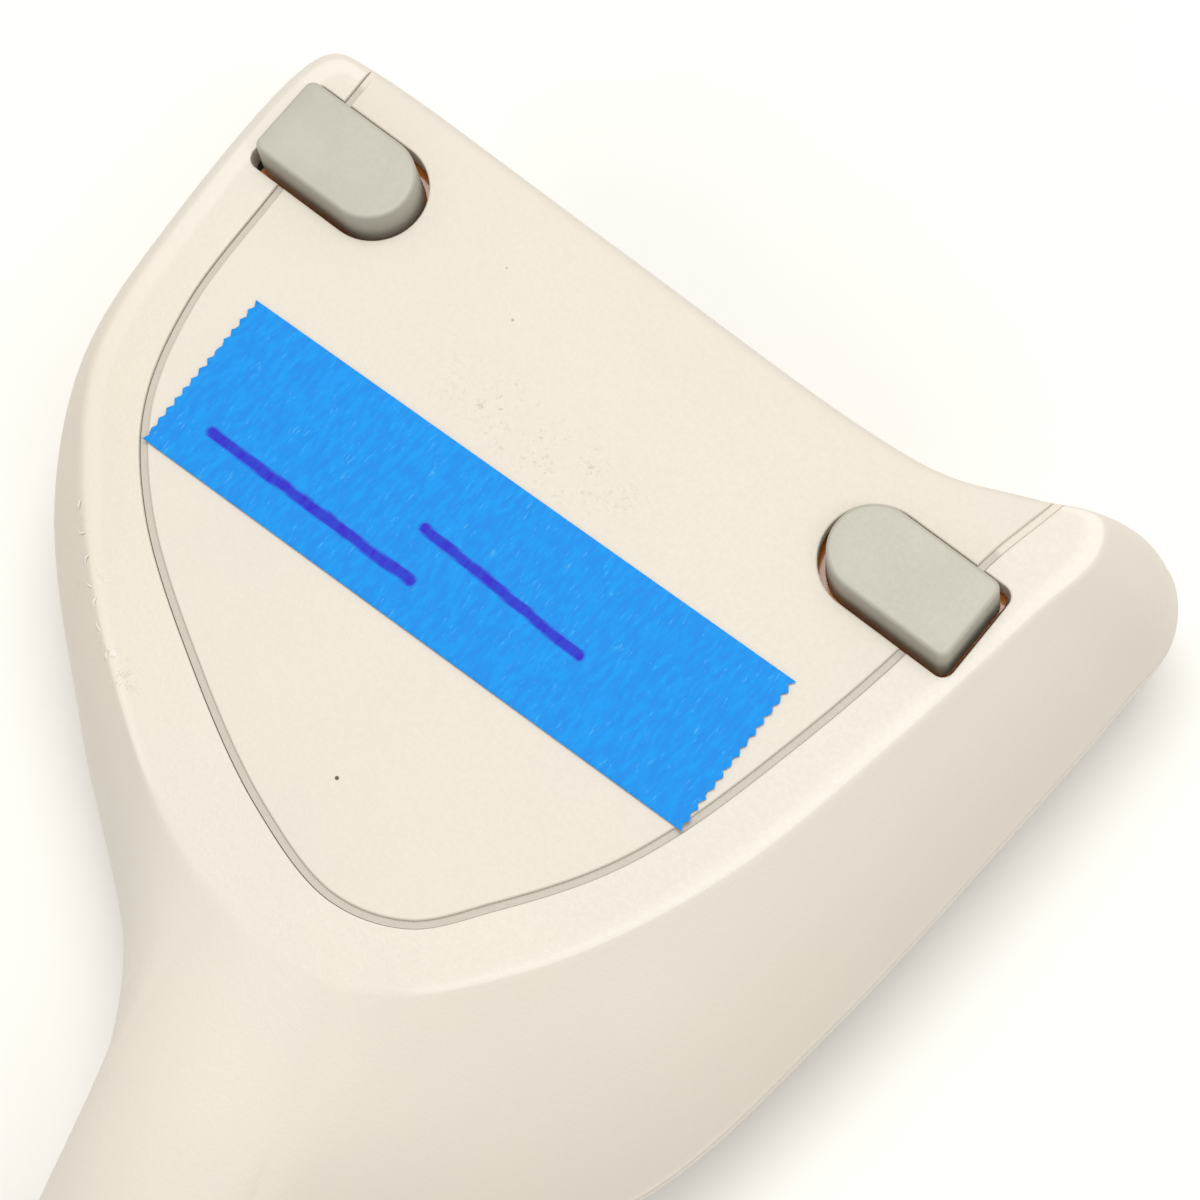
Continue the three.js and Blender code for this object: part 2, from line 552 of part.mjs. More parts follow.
piece('cable_clamp_upper', clampHalf(true), 'dark');
piece('cable_clamp_lower', clampHalf(false), 'dark');
[['left', -1], ['right', 1]].forEach(([name, sign]) => {
  const head = SEAM_Z + GAP / 2 + CLAMP.ear + GAP;
  const at = [NECK.x + sign * CLAMP.screw, (CLAMP.y0 + CLAMP.y1) / 2];
  const screw = solidRod('z', [...at, SEAM_Z - 4], 1.1, head - SEAM_Z + 4.5, 12)
    .add(solidRod('z', [...at, head], 2.2, 1.8, 12));
  piece(`clamp_screw_${name}`, screw, 'steel');
});

const GLAND = { r: 12, bore: 10.2, y0: -149, y1: -115, spigot: 11.2, shoulder: NECK.y - GAP };
piece('gland_body', turned([[GLAND.bore, GLAND.y0], [GLAND.spigot, GLAND.y0],
  [GLAND.spigot, GLAND.shoulder], [GLAND.r, GLAND.shoulder], [GLAND.r, GLAND.y1],
  [GLAND.bore, GLAND.y1]], NECK.x, SEAM_Z, 24), 'dark');

function glandNut() {
  const across = new THREE.CylinderGeometry(15.6, 15.6, 13, 6).translate(0, 6.5, 0)
    .rotateY(Math.PI / 6).translate(NECK.x, -150.6, SEAM_Z);
  const rounding = toSolid(turned([[0, -150.6], [13.4, -150.6], [15.2, -148.8], [15.2, -139.2],
    [14, -137.6], [0, -137.6]], NECK.x, SEAM_Z, 24));
  const lip = solidRod('y', [NECK.x, -152, SEAM_Z], GLAND.bore, 20, 24);
  const thread = solidRod('y', [NECK.x, GLAND.y0 - GAP, SEAM_Z], GLAND.spigot + GAP, 20, 24);
  return toSolid(across).intersect(rounding).subtract(lip).subtract(thread);
}
piece('gland_nut', glandNut(), 'dark');

// ---- fasteners, feet and the tape label ------------------------------------------------
SCREWS.forEach(([x, y], i) => {
  const screw = solidRod('z', [x, y, 2.3], 3, 2, 16).add(solidRod('z', [x, y, 2.3], 1.5, 26, 16));
  const drive = solidRod('z', [x, y, 1], 1.2, 2.3, 6);
  piece(`shell_screw_${i + 1}`, screw.subtract(drive), 'steel');
});
FEET.forEach(([x, y], i) => {
  piece(`foot_${i + 1}`, rod('z', [x, y, 0], 4.5, BASE_Z - GAP, 24), 'rubber');
});

// Paper tape laid across the panel, with saw-tooth ends.
const TAPE = { x: 0.4, y: -32.4, length: 89.5, width: 24, turn: 0.033, teeth: 14, bite: 0.5, thick: 0.2 };

function tape() {
  const pitch = TAPE.width / TAPE.teeth;
  const edge = (sign) => Array.from({ length: 2 * TAPE.teeth + 1 }, (_, i) => new THREE.Vector2(
    sign * (TAPE.length / 2 - (i % 2 ? TAPE.bite : 0)),
    sign * (-TAPE.width / 2 + (i * pitch) / 2),
  ));
  return prism([...edge(1), ...edge(-1)], 0, TAPE.thick).rotateZ(TAPE.turn)
    .translate(TAPE.x, TAPE.y, PAD_Z + GAP);
}
piece('tape_label', tape(), 'tape');

const object = new THREE.Group();
object.add(plug);

export default object;
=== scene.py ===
"""Looks for the handpiece connector plug: fine shells, panel, buttons and tape around the CAD frame."""
import json
import math

import bmesh
import bpy
import numpy as np
from mathutils import Matrix, Vector, noise


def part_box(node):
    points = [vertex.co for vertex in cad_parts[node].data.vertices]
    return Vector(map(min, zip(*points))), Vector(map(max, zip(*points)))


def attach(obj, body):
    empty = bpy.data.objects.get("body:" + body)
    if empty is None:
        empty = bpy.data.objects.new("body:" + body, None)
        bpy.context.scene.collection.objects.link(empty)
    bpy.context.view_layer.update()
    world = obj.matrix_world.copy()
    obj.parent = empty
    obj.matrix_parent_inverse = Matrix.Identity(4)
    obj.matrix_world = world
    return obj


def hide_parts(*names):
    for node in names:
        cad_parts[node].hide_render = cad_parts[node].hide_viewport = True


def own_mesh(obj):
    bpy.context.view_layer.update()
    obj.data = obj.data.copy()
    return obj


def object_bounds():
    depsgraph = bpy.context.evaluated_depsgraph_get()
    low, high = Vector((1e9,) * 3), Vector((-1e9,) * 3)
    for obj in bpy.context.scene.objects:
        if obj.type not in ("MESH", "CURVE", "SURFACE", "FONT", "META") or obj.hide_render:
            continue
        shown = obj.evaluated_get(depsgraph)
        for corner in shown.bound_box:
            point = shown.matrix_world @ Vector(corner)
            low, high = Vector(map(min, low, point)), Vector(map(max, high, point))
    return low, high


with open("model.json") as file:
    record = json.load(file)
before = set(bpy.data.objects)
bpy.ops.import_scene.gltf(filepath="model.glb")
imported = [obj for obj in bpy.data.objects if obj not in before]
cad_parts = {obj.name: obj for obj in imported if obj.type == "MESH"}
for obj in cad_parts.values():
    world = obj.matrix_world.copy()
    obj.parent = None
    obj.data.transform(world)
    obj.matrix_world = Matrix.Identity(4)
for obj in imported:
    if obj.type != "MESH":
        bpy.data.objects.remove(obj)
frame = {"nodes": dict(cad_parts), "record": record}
CAD_LOW, CAD_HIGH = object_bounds()

# ---- the plug's dimensions, in mm, as in the CAD -----------------------------------------
# x = 0 is midway between the buttons and y = 0 on their centreline; ORIGIN is the row's.
ORIGIN = (4.028, -61.5)
PAD_Z, SEAM_Z, BASE_Z = 38.0, 18.0, 1.5
GAP, WALL, PAD_THICK, PANEL_THICK = 0.3, 2.4, 4.1, 2.2
GROOVE, GROOVE_DEPTH, LEDGE = 1.1, 0.55, 5.0
JOINT = 0.1           # fine line left between the panel's flange and the shell
NECK_X, NECK_Y, NECK_R, NECK_BORE = 25.0, -137.0, 15.0, 12.5
BLOCK_X0, BLOCK_X1, BLOCK_Y0, BLOCK_Z0, BLOCK_Z1 = -39.7, 37.2, -1.2, 8.3, 29.2
SKIRT_Z, LIP_BACK = 31.8, 10.9          # the panel's front lip: lower edge, and where it starts
LATCH_X0, LATCH_X1, LATCH_TOP_Z = 42.2, 51.8, 29.3
BUTTON_OUTER, BUTTON_LENGTH, BUTTON_WIDTH = 58.2, 21.9, 12.3
BUTTON_TOP, BUTTON_FOOT, SLOT = 42.5, 33.9, 1.2
SCREWS = [(56, -14), (-56.5, -14), (45, -54), (-42.5, -53)]
SCREW_R, SCREW_DEPTH, HEAD_R, HEAD_DEPTH = 1.8, 13, 3.3, 4.6
UPPER_BOSS_R, UPPER_BOSS_LENGTH, LOWER_BOSS_R = 3.6, 17, 4.4
POST_FOOT = 3
SPRING_POSTS, SPRING_POST_R, SPRING_POST_LENGTH = [(54.5, -3), (-54.5, -3)], 3, 21
BOARD_POSTS, BOARD_POST_R, BOARD_POST_LENGTH = [(3, -13), (29, -36)], 2, 5.3

# Each station of the plan: crease (edge of the flat top), rim (parting plane), base.
STATIONS = [
    [(24.5, -85), (40, -137), (33, -110)],
    [(30, -81.5), (43.3, -119), (39, -104)],
    [(38, -73), (56, -101), (50, -93)],
    [(46, -61), (68, -79), (62.5, -75)],
    [(54, -42), (73, -48), (68, -46)],
    [(59.3, -17), (75.2, -18), (70, -18)],
    [(63, 7), (76.4, 9), (71.4, 8)],
    [(64.6, 18), (76, 21), (71, 18.5)],
    [(62, 22.2), (69.5, 27.6), (66.5, 22.5)],
    [(52.5, 18.4), (56, 24.3), (57, 19.5)],
    [(42, 14.4), (44, 18.8), (44.5, 14)],
    [(31, 13), (31, 17), (31, 12)],
    [(-15, 13), (-15, 17), (-15, 12)],
    [(-54, 13), (-58, 17), (-56, 12)],
    [(-59.5, 12.2), (-65.5, 15.5), (-61.5, 11)],
    [(-61.5, 9), (-68, 11), (-63, 7.5)],
    [(-61.5, -18), (-67.8, -18), (-62.8, -18)],
    [(-57.5, -40.5), (-64.5, -41), (-59.7, -39.5)],
    [(-48, -54), (-54, -59.5), (-50, -56)],
    [(-33, -67.3), (-31, -79.5), (-28, -75)],
    [(-13, -80), (-4, -100.5), (2, -96)],
    [(-3, -84.3), (7, -119), (12, -104)],
    [(4, -85.8), (10, -137), (17, -110)],
]
CREASE_APEX, BASE_APEX, MIDDLE = (14, -87), (25, -113), (12, -45)
GROOVE_LINE = [
    (57.6, 40), (56.7, 22.7), (54, 9), (52.6, -8), (49.3, -26), (45, -43), (40.7, -53.3),
    (33, -65), (26, -73.4), (16, -76.8), (1, -73.5), (-18, -64.6), (-36.5, -53),
    (-46.5, -42), (-51.5, -28), (-53, -8), (-54, 15), (-54.3, 40),
]
TAPE = {"x": 0.4, "y": -32.4, "length": 89.5, "width": 24.0, "turn": 0.033, "teeth": 14,
        "bite": 0.5, "thick": 0.2}

FILLET = 0.5          # softness of the crease between the flat top and the wall
LIP = 0.28            # rounding of cut edges
STEPS = 10            # points between two stations
CLIP_MARGIN = 0.0004  # metres that a fine piece may pass its own node's box, inside the part's
ARC_STEPS = 36


def smoothstep(value, low, high):
    t = min(max((value - low) / (high - low), 0.0), 1.0)
    return t * t * (3 - 2 * t)


# ---- plan curves ---------------------------------------------------------------------------
def spline(points, count):
    """Centripetal Catmull-Rom curve through points, sampled at count + 1 even parameters."""
    pts = [np.array(p, float) for p in points]
    last = len(pts) - 1
    out = []
    for i in range(count + 1):
        place = last * i / count
        k = min(int(place), last - 1)
        w = place - k
        p1, p2 = pts[k], pts[k + 1]
        p0 = pts[k - 1] if k > 0 else 2 * pts[0] - pts[1]
        p3 = pts[k + 2] if k + 2 <= last else 2 * pts[-1] - pts[-2]
        d0, d1, d2 = (math.sqrt(max(np.linalg.norm(b - a), 1e-9)) for a, b in ((p0, p1), (p1, p2), (p2, p3)))
        t1 = ((p1 - p0) / d0 - (p2 - p0) / (d0 + d1) + (p2 - p1) / d1) * d1
        t2 = ((p2 - p1) / d1 - (p3 - p1) / (d1 + d2) + (p3 - p2) / d2) * d1
        out.append(p1 + t1 * w + (3 * (p2 - p1) - 2 * t1 - t2) * w ** 2
                   + (2 * (p1 - p2) + t1 + t2) * w ** 3)
    return np.array(out)


def offset(points, distance):
    """Moves each point of an open curve sideways; positive is to the left of travel."""
    before = np.vstack([points[:1], points[:-1]])
    after = np.vstack([points[1:], points[-1:]])
    along = after - before
    along /= np.linalg.norm(along, axis=1)[:, None]
    return points + distance * np.column_stack([-along[:, 1], along[:, 0]])


SIDES = [spline([row[c] for row in STATIONS], (len(STATIONS) - 1) * STEPS) for c in range(3)]
N_SIDE = len(SIDES[0])


def flat_ring(plan, apex, inset, z):
    moved = offset(plan, inset) if inset else plan
    arc = spline([moved[-1], (apex[0], apex[1] + inset), moved[0]], ARC_STEPS)[1:-1]
    ring = np.vstack([moved, arc])
    return np.column_stack([ring, np.full(len(ring), z)])


def rim_ring(inset, z, up_down):
    plan = (offset(SIDES[1], inset) if inset else SIDES[1]).copy()
    radius = NECK_R - inset
    plan[0] = (NECK_X + radius, NECK_Y)
    plan[-1] = (NECK_X - radius, NECK_Y)
    ring = [(x, y, z) for x, y in plan]
    for i in range(1, ARC_STEPS):
        angle = math.pi * (1 - i / ARC_STEPS)
        ring.append((NECK_X + radius * math.cos(angle), NECK_Y, z + up_down * radius * math.sin(angle)))
    return np.array(ring)


def upper_wall(flat, rim, u):
    """Ring part way down the upper shell's wall, with its crease eased into the flat top."""
    out = []
    for a, b in zip(flat, rim):
        bulge = 0.42 + 0.26 * smoothstep(-b[1], 90, 135)
        reach = math.hypot(b[0] - a[0], b[1] - a[1])
        ease = FILLET / reach
        run = (u + math.sqrt(u * u + ease * ease)) / 2
        top = (1 + math.sqrt(1 + ease * ease)) / 2
        drop = (1 - bulge) * run / top + (bulge * u ** 4 if u > 0 else 0)
        out.append((a[0] + (b[0] - a[0]) * u, a[1] + (b[1] - a[1]) * u, a[2] + (b[2] - a[2]) * drop))
    return np.array(out)


def beside_crease(back, reach):
    """Share of the wall's run at a distance from the crease, kept short of the first full ring."""
    u = -back / reach
    return u / (1 + 2.3 * u) if u > 0 else u


def lower_wall(flat, rim, u):
    out, up = math.sin(u * math.pi / 2), 1 - math.cos(u * math.pi / 2)
    xy = flat[:, :2] + (rim[:, :2] - flat[:, :2]) * out
    return np.column_stack([xy, flat[:, 2] + (rim[:, 2] - flat[:, 2]) * up])


# ---- meshes --------------------------------------------------------------------------------
def to_row(points):
    """Plug coordinates in mm to the row's frame in metres."""
    p = np.asarray(points, float).reshape(-1, 3)
    return (p - (ORIGIN[0], ORIGIN[1], 0)) / 1000


def mesh_object(name, points, faces):
    mesh = bpy.data.meshes.new(name)
    mesh.from_pydata([tuple(p) for p in to_row(points)], [], [tuple(f) for f in faces])
    mesh.validate()
    mesh.update()
    obj = bpy.data.objects.new(name, mesh)
    bpy.context.scene.collection.objects.link(obj)
    return obj


def orient(obj):
    """Turns every face outwards."""
    bm = bmesh.new()
    bm.from_mesh(obj.data)
    bmesh.ops.recalc_face_normals(bm, faces=bm.faces)
    bm.to_mesh(obj.data)
    bm.free()
    return obj


def loft(name, rings, hubs):
    """Closed skin through rings of equal counts, with fan caps around the two hub points."""
    count = len(rings[0])
    points = [tuple(p) for ring in rings for p in ring] + [tuple(h) for h in hubs]
    faces = []
    for k in range(len(rings) - 1):
        for i in range(count):
            j = (i + 1) % count
            faces.append((k * count + i, (k + 1) * count + i, (k + 1) * count + j, k * count + j))
    start = (len(rings) - 1) * count
    for i in range(count):
        j = (i + 1) % count
        faces.append((len(points) - 2, i, j))
        faces.append((len(points) - 1, start + j, start + i))
    return orient(mesh_object(name, points, faces))


def box(x0, x1, y0, y1, z0, z1):
    corners = [(x, y, z) for x in (x0, x1) for y in (y0, y1) for z in (z0, z1)]
    faces = [(0, 1, 3, 2), (4, 6, 7, 5), (0, 4, 5, 1), (2, 3, 7, 6), (0, 2, 6, 4), (1, 5, 7, 3)]
    return orient(mesh_object("cutter", corners, faces))


def rod(axis, centre, radius, length, sides=40):
    """Round bar starting at centre and running along +axis."""
    order = {"x": (1, 2, 0), "y": (0, 2, 1), "z": (0, 1, 2)}[axis]
    rings = []
    for step in (0, length):
        ring = []
        for i in range(sides):
            angle = 2 * math.pi * i / sides
            p = [0, 0, 0]
            p[order[0]] = centre[order[0]] + radius * math.cos(angle)
            p[order[1]] = centre[order[1]] + radius * math.sin(angle)
            p[order[2]] = centre[order[2]] + step
            ring.append(p)
        rings.append(ring)
    hubs = [np.mean(rings[0], axis=0), np.mean(rings[1], axis=0)]
    return loft("cutter", rings, hubs)


def combine(obj, other, how):
    """Boolean of obj with other, which is used up."""
    modifier = obj.modifiers.new("cut", "BOOLEAN")
    modifier.operation = how
    modifier.solver = "MANIFOLD"
    modifier.object = other
    graph = bpy.context.evaluated_depsgraph_get()
    mesh = bpy.data.meshes.new_from_object(obj.evaluated_get(graph))
    obj.modifiers.clear()
    old = obj.data
    obj.data = mesh
    bpy.data.meshes.remove(old)
    used = other.data
    bpy.data.objects.remove(other)
    bpy.data.meshes.remove(used)
    return obj


def cut(obj, *others):
    for other in others:
        combine(obj, other, "DIFFERENCE")
    return obj


def join(obj, *others):
    for other in others:
        combine(obj, other, "UNION")
    return obj


def finish_piece(obj, node, material, body="housing", sharp=32):
    """Keeps the piece close to its CAD node's box, smooths it, and puts it in the node's place."""
    node_low, node_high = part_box(node)
    low = [max(a - CLIP_MARGIN, b) for a, b in zip(node_low, CAD_LOW)]
    high = [min(a + CLIP_MARGIN, b) for a, b in zip(node_high, CAD_HIGH)]
    count = len(obj.data.vertices)
    co = np.zeros(count * 3)
    obj.data.vertices.foreach_get("co", co)
    co = np.clip(co.reshape(-1, 3), np.array(low), np.array(high))
    obj.data.vertices.foreach_set("co", co.ravel())
    obj.data.update()
    obj.data.polygons.foreach_set("use_smooth", [True] * len(obj.data.polygons))
    obj.data.set_sharp_from_angle(angle=math.radians(sharp))
    weights = obj.modifiers.new("normals", "WEIGHTED_NORMAL")
    weights.keep_sharp = True
    weights.weight = 100
    obj.data.materials.clear()
    obj.data.materials.append(material)
    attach(obj, body)
    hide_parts(node)
    return obj


# ---- outlines ------------------------------------------------------------------------------
GROOVE_CURVE = spline(GROOVE_LINE, 200)


def groove_prism(levels):
    """Upright cutter along the panel's groove; levels are (z, inset from the groove's line)."""
    rings = []
    for z, inset in levels:
        plan = offset(GROOVE_CURVE, -inset)
        rings.append(np.column_stack([plan, np.full(len(plan), z)]))
    hubs = [(0, -20, levels[0][0]), (0, -20, levels[-1][0])]
    return loft("cutter", rings, hubs)


def button_ring(sign, grow, z, arc=14, outer_grow=None):
    half = BUTTON_WIDTH / 2 + grow
    outer = BUTTON_OUTER + (grow if outer_grow is None else outer_grow)
    corner = 1.3 + max(grow, 0) * 0.3
    corner = max(corner + min(grow, 0) * 0.6, 0.4)
    centre = BUTTON_OUTER - BUTTON_LENGTH + BUTTON_WIDTH / 2
    ring = []
    for i in range(7):
        a = -math.pi / 2 + (math.pi / 2) * i / 6
        ring.append((outer - corner + corner * math.cos(a), -half + corner + corner * math.sin(a)))
    for i in range(7):
        a = (math.pi / 2) * i / 6
        ring.append((outer - corner + corner * math.cos(a), half - corner + corner * math.sin(a)))
    for i in range(2 * arc + 1):
        a = math.pi / 2 + math.pi * i / (2 * arc)
        ring.append((centre + half * math.cos(a), half * math.sin(a)))
    return [(sign * x, y, z) for x, y in ring]


def button_slot(sign):
    levels = [(29, SLOT), (PAD_Z - LIP, SLOT)]
    for a in np.linspace(0, math.pi / 2, 5)[1:]:
        levels.append((PAD_Z - LIP + LIP * math.sin(a), SLOT + LIP * (1 - math.cos(a))))
    levels.append((45, SLOT + LIP + 0.01))
    rings = [button_ring(sign, grow, z) for z, grow in levels]
    middle = sign * (BUTTON_OUTER - BUTTON_LENGTH / 2)
    return loft("cutter", rings, [(middle, 0, 29), (middle, 0, 45)])


def panel_zone(clear):
    """The top skin inside the groove, and the lip over the front wall, as one solid."""
    low, back, skirt = PAD_Z - PANEL_THICK - clear, LIP_BACK - clear, SKIRT_Z - clear
    outline = [(-100, low), (-100, 45), (40, 45), (40, skirt), (back, skirt), (back, low)]
    points = [(x, y, z) for x in (-80, 80) for y, z in outline]
    n = len(outline)
    faces = [tuple(range(n)), tuple(range(2 * n - 1, n - 1, -1))]
    faces += [(i, (i + 1) % n, n + (i + 1) % n, n + i) for i in range(n)]
    return orient(mesh_object("cutter", points, faces))


# ---- shells, panel -------------------------------------------------------------------------
def upper_body():
    crease = flat_ring(SIDES[0], CREASE_APEX, 0, PAD_Z)
    rim = rim_ring(0, SEAM_Z + GAP / 2, 1)
    inner_flat = flat_ring(SIDES[0], CREASE_APEX, WALL, PAD_Z - PAD_THICK)
    inner_rim = rim_ring(WALL, SEAM_Z + GAP / 2, 1)
    reach = np.hypot(*(rim - crease)[:, :2].T)
    rings = []
    for back in (4.0, 2.4, 1.4, 0.8, 0.45, 0.2, 0.0, -0.2, -0.45, -0.8, -1.4):
        ring = np.array([upper_wall(crease[i:i + 1], rim[i:i + 1], beside_crease(back, reach[i]))[0]
                         for i in range(len(crease))])
        rings.append(ring)
    rings[0][:, 2] = PAD_Z
    for u in (0.2, 0.3, 0.4, 0.5, 0.6, 0.7, 0.78, 0.85, 0.9, 0.94, 0.97, 0.985):
        rings.append(upper_wall(crease, rim, u))
    low = rim.copy()
    low[:N_SIDE, 2] += 0.35
    low[N_SIDE:, 1] += 0.35
    rings.append(low)
    under = rim_ring(0.3, SEAM_Z + GAP / 2, 1)
    rings.append(under)
    rings.append(inner_rim)
    rings += [upper_wall(inner_flat, inner_rim, u) for u in (0.75, 0.4)]
    rings.append(inner_flat)
    return loft("upper_shell_fine", rings, [(*MIDDLE, PAD_Z), (*MIDDLE, PAD_Z - PAD_THICK)])


def lower_body():
    base = flat_ring(SIDES[2], BASE_APEX, 0, BASE_Z)
    rim = rim_ring(0, SEAM_Z - GAP / 2, -1)
    inner_base = flat_ring(SIDES[2], BASE_APEX, WALL, BASE_Z + WALL)
    inner_rim = rim_ring(WALL, SEAM_Z - GAP / 2, -1)
    rings = [base] + [lower_wall(base, rim, u) for u in (0.08, 0.18, 0.3, 0.42, 0.55, 0.67, 0.78, 0.88, 0.95)]
    low = rim.copy()
    low[:N_SIDE, 2] -= 0.35
    low[N_SIDE:, 1] += 0.35
    rings += [low, rim_ring(0.3, SEAM_Z - GAP / 2, -1)]
    rings += [inner_rim, lower_wall(inner_base, inner_rim, 0.6), inner_base]
    return loft("lower_shell_fine", rings, [(*MIDDLE, BASE_Z), (*MIDDLE, BASE_Z + WALL)])


def lip_levels(bottom, top, inset, outward):
    """Levels of an upright cutter whose side rounds over by LIP just below `top`."""
    levels = [(bottom, inset), (top - LIP, inset)]
    for a in np.linspace(0, math.pi / 2, 5)[1:]:
        levels.append((top - LIP + LIP * math.sin(a), inset + outward * LIP * (1 - math.cos(a))))
    return levels


def upper_shell():
    seat = groove_prism(lip_levels(10, PAD_Z, -GROOVE / 2, -1) + [(45, -GROOVE / 2 - LIP)])
    combine(seat, panel_zone(GAP), "INTERSECT")
    opening = groove_prism([(25, LEDGE), (45, LEDGE)])
    combine(opening, box(-80, 80, -100, 7, 25, 45), "INTERSECT")
    shell = upper_body()
    join(shell, *(rod("z", (x, y, SEAM_Z + GAP / 2), UPPER_BOSS_R, UPPER_BOSS_LENGTH) for x, y in SCREWS))
    cut(shell, *(rod("z", (x, y, SEAM_Z - 1), SCREW_R, SCREW_DEPTH) for x, y in SCREWS))
    cut(shell, seat, opening)
    cut(shell, box(BLOCK_X0 - GAP, BLOCK_X1 + GAP, BLOCK_Y0 - GAP, 30, 10, BLOCK_Z1 + GAP))
    cut(shell, rod("y", (NECK_X, NECK_Y - 3, SEAM_Z), NECK_BORE, 25))
    cut(shell, button_slot(1), button_slot(-1))
    cut(shell, box(LATCH_X0, LATCH_X1, 8, 30, SEAM_Z - 3, LATCH_TOP_Z))
    cut(shell, box(-LATCH_X1, -LATCH_X0, 8, 30, SEAM_Z - 3, LATCH_TOP_Z))
    return shell


def top_panel():
    floor = PAD_Z - GROOVE_DEPTH
    inside = groove_prism([(10, JOINT - GROOVE / 2), (floor, JOINT - GROOVE / 2)])
    face = groove_prism([(floor - 1, GROOVE / 2)] + lip_levels(floor - 0.5, PAD_Z, GROOVE / 2, 1)
                        + [(45, GROOVE / 2 + LIP)])
    join(inside, face)
    combine(inside, panel_zone(0), "INTERSECT")
    panel = upper_body()
    panel.name = panel.data.name = "top_panel_fine"
    combine(panel, inside, "INTERSECT")
    cut(panel, button_slot(1), button_slot(-1))
    return panel


def lower_shell():
    shell = lower_body()
    boss_length = SEAM_Z - GAP / 2 - BASE_Z - 1
    join(shell, *(rod("z", (x, y, BASE_Z + 1), LOWER_BOSS_R, boss_length) for x, y in SCREWS))
    join(shell, *(rod("z", (x, y, POST_FOOT), SPRING_POST_R, SPRING_POST_LENGTH) for x, y in SPRING_POSTS))
    join(shell, *(rod("z", (x, y, POST_FOOT), BOARD_POST_R, BOARD_POST_LENGTH) for x, y in BOARD_POSTS))
    cut(shell, *(rod("z", (x, y, 0), SCREW_R, 20) for x, y in SCREWS))
    cut(shell, *(rod("z", (x, y, 0), HEAD_R, HEAD_DEPTH) for x, y in SCREWS))
    cut(shell, box(BLOCK_X0 - GAP, BLOCK_X1 + GAP, BLOCK_Y0 - GAP, 30, BLOCK_Z0 - GAP, 20))
    cut(shell, rod("y", (NECK_X, NECK_Y - 3, SEAM_Z), NECK_BORE, 25))
    return shell


def release_button(sign):
    """D-shaped cap with rounded edges, a draft on its sides and a barely crowned top."""
    edge = 0.5
    rings = []
    for inset, lift in ((3.4, 0.0), (2.0, -0.02), (0.8, -0.07)):
        rings.append(button_ring(sign, -inset, BUTTON_TOP + lift))
    for a in np.linspace(math.pi / 2, 0, 8):
        height = BUTTON_TOP - 0.1 - edge * (1 - math.sin(a))
        rings.append(button_ring(sign, -edge + edge * math.cos(a), height))
    rings.append(button_ring(sign, 0.08, BUTTON_TOP - 3.2))
    rings.append(button_ring(sign, 0.2, BUTTON_FOOT + 1.5))
    rings.append(button_ring(sign, 0.25, BUTTON_FOOT))
    middle = sign * (BUTTON_OUTER - BUTTON_LENGTH / 2)
    return loft("button_fine", rings, [(middle, 0, BUTTON_TOP), (middle, 0, BUTTON_FOOT)])


# ---- paper tape ----------------------------------------------------------------------------
STROKES = [((-37.0, -39.6), (-2.9, -39.0), 0.86), ((-6.0, -32.4), (20.8, -33.3), 0.82)]


def in_stroke(x, y):
    """How far a point lies inside a pen stroke, 0 to 1."""
    best = 0.0
    for (ax, ay), (bx, by), half in STROKES:
        dx, dy = bx - ax, by - ay
        t = min(max(((x - ax) * dx + (y - ay) * dy) / (dx * dx + dy * dy), 0), 1)
        wander = 0.18 * noise.noise(Vector((x * 0.35, y * 0.35, half)))
        away = math.hypot(x - ax - t * dx, y - ay - t * dy + wander)
        best = max(best, 1 - smoothstep(away, half - 0.25, half + 0.05))
    return best


def paper_tape():
    """Crinkled sheet with saw-tooth ends, lying on the panel, with a thin underside."""
    along, across = 300, 84
    turn_c, turn_s = math.cos(TAPE["turn"]), math.sin(TAPE["turn"])
    pitch = TAPE["width"] / TAPE["teeth"]
    top, bottom, ink = [], [], []
    for i in range(along + 1):
        for j in range(across + 1):
            v = -TAPE["width"] / 2 + TAPE["width"] * j / across
            tooth = abs(((v + TAPE["width"] / 2) / pitch) % 1 - 0.5) * 2
            ragged = 0.45 * noise.noise(Vector((v * 1.3, 4.0 + i // (along // 2 + 1), 0.0)))
            half = TAPE["length"] / 2 - TAPE["bite"] * (1 - tooth) + min(ragged, 0.0) - 0.02
            u = half * (2 * i / along - 1)
            x = TAPE["x"] + u * turn_c - v * turn_s
            y = TAPE["y"] + u * turn_s + v * turn_c
            crepe = noise.noise(Vector((u * 1.25, v * 0.42, 0.0)))
            crepe += 0.6 * noise.noise(Vector((u * 2.6, v * 0.9, 7.0)))
            wave = noise.noise(Vector((u * 0.09, v * 0.12, 3.0)))
            lift = min(max(0.115 + 0.045 * crepe + 0.03 * wave, 0.03), TAPE["thick"])
            edge = min(half - abs(u), TAPE["width"] / 2 - abs(v))
            lift = 0.03 + (lift - 0.03) * smoothstep(edge, -0.1, 0.35)
            top.append((x, y, PAD_Z + GAP + lift))
            bottom.append((x, y, PAD_Z + GAP))
            ink.append(in_stroke(x, y))
    n = len(top)
    row = across + 1
    faces = []
    for i in range(along):
        for j in range(across):
            a = i * row + j
            faces.append((a, a + row, a + row + 1, a + 1))
            faces.append((n + a, n + a + 1, n + a + row + 1, n + a + row))
    border = [j for j in range(row)]
    border += [i * row + across for i in range(1, along + 1)]
    border += [along * row + j for j in range(across - 1, -1, -1)]
    border += [i * row for i in range(along - 1, 0, -1)]
    for k, a in enumerate(border):
        b = border[(k + 1) % len(border)]
        faces.append((a, b, n + b, n + a))
    obj = orient(mesh_object("tape_fine", top + bottom, faces))
    layer = obj.data.attributes.new("ink", "FLOAT", "POINT")
    layer.data.foreach_set("value", ink + [0.0] * n)
    return obj


